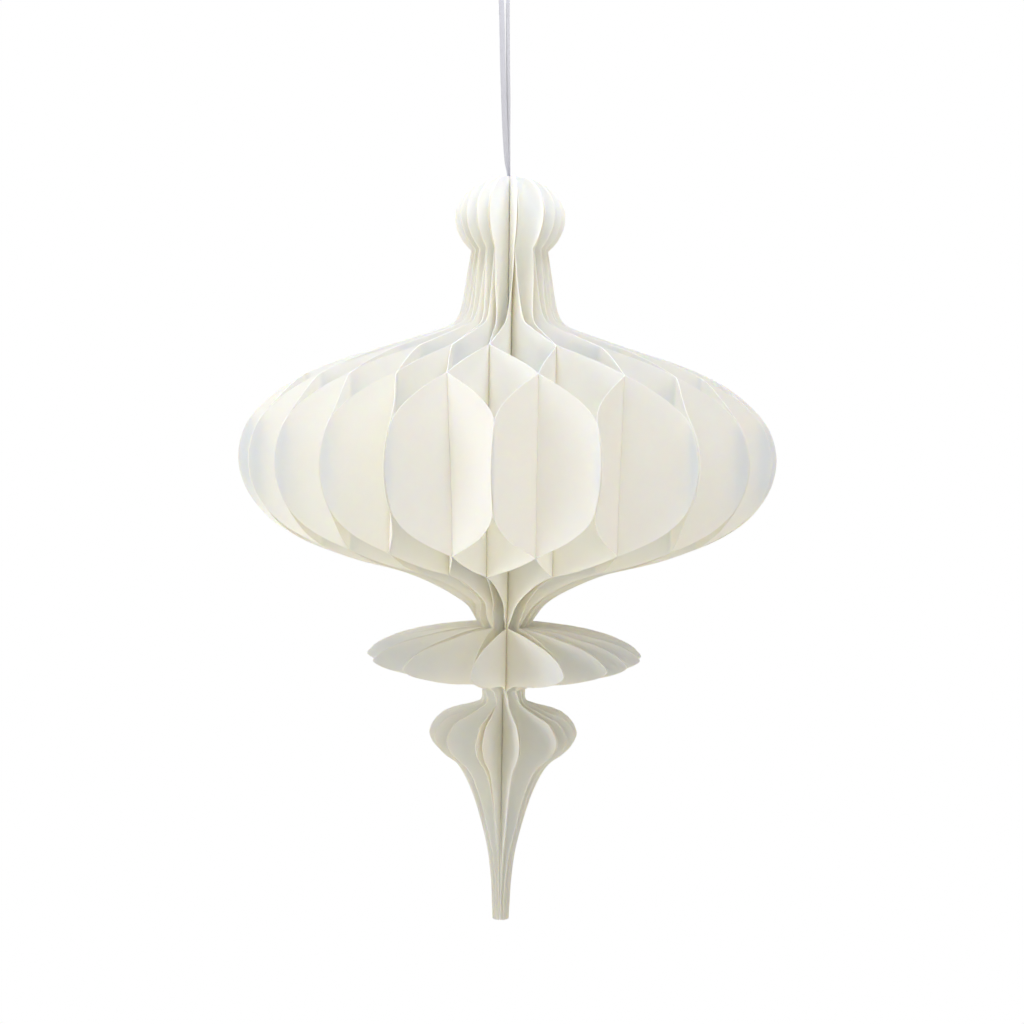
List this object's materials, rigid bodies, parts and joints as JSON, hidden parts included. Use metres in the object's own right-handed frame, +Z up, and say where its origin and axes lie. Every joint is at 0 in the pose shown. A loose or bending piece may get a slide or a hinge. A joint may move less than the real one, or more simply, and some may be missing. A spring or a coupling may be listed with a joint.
{
  "type": "honeycomb paper ornament",
  "caption": "Hanging paper ornament: a spire of fanned card leaves glued into honeycomb cells, with knob, bulb, disc and pointed finial, on a ribbon loop.",
  "frame": {"origin": "inside of the ribbon's loop, where a hook or a nail holds the ornament up", "axes": "+Z up along the spire, +X to the right and -Y to the front, the side with the widest open cells"},
  "size_m": [0.293, 0.2875, 0.5353],
  "materials": {
    "card": "uncoated cream card",
    "ribbon": "white satin ribbon"
  },
  "bodies": {
    "root": {"leaf_01": "card", "leaf_02": "card", "leaf_03": "card", "leaf_04": "card", "leaf_05": "card", "leaf_06": "card", "leaf_07": "card", "leaf_08": "card", "leaf_09": "card", "leaf_10": "card", "leaf_11": "card", "leaf_12": "card", "leaf_13": "card", "leaf_14": "card", "leaf_15": "card", "leaf_16": "card", "leaf_17": "card", "leaf_18": "card", "leaf_19": "card", "leaf_20": "card", "leaf_21": "card", "leaf_22": "card", "leaf_23": "card", "leaf_24": "card", "leaf_25": "card", "leaf_26": "card", "leaf_27": "card", "leaf_28": "card", "leaf_29": "card", "leaf_30": "card", "leaf_31": "card", "leaf_32": "card", "leaf_33": "card", "leaf_34": "card", "leaf_35": "card", "leaf_36": "card", "leaf_37": "card", "leaf_38": "card", "leaf_39": "card", "leaf_40": "card", "leaf_41": "card", "leaf_42": "card", "leaf_43": "card", "leaf_44": "card", "leaf_45": "card", "leaf_46": "card", "leaf_47": "card", "leaf_48": "card", "hanging_ribbon": "ribbon", "ribbon_knot": "ribbon"}
  },
  "joints": []
}
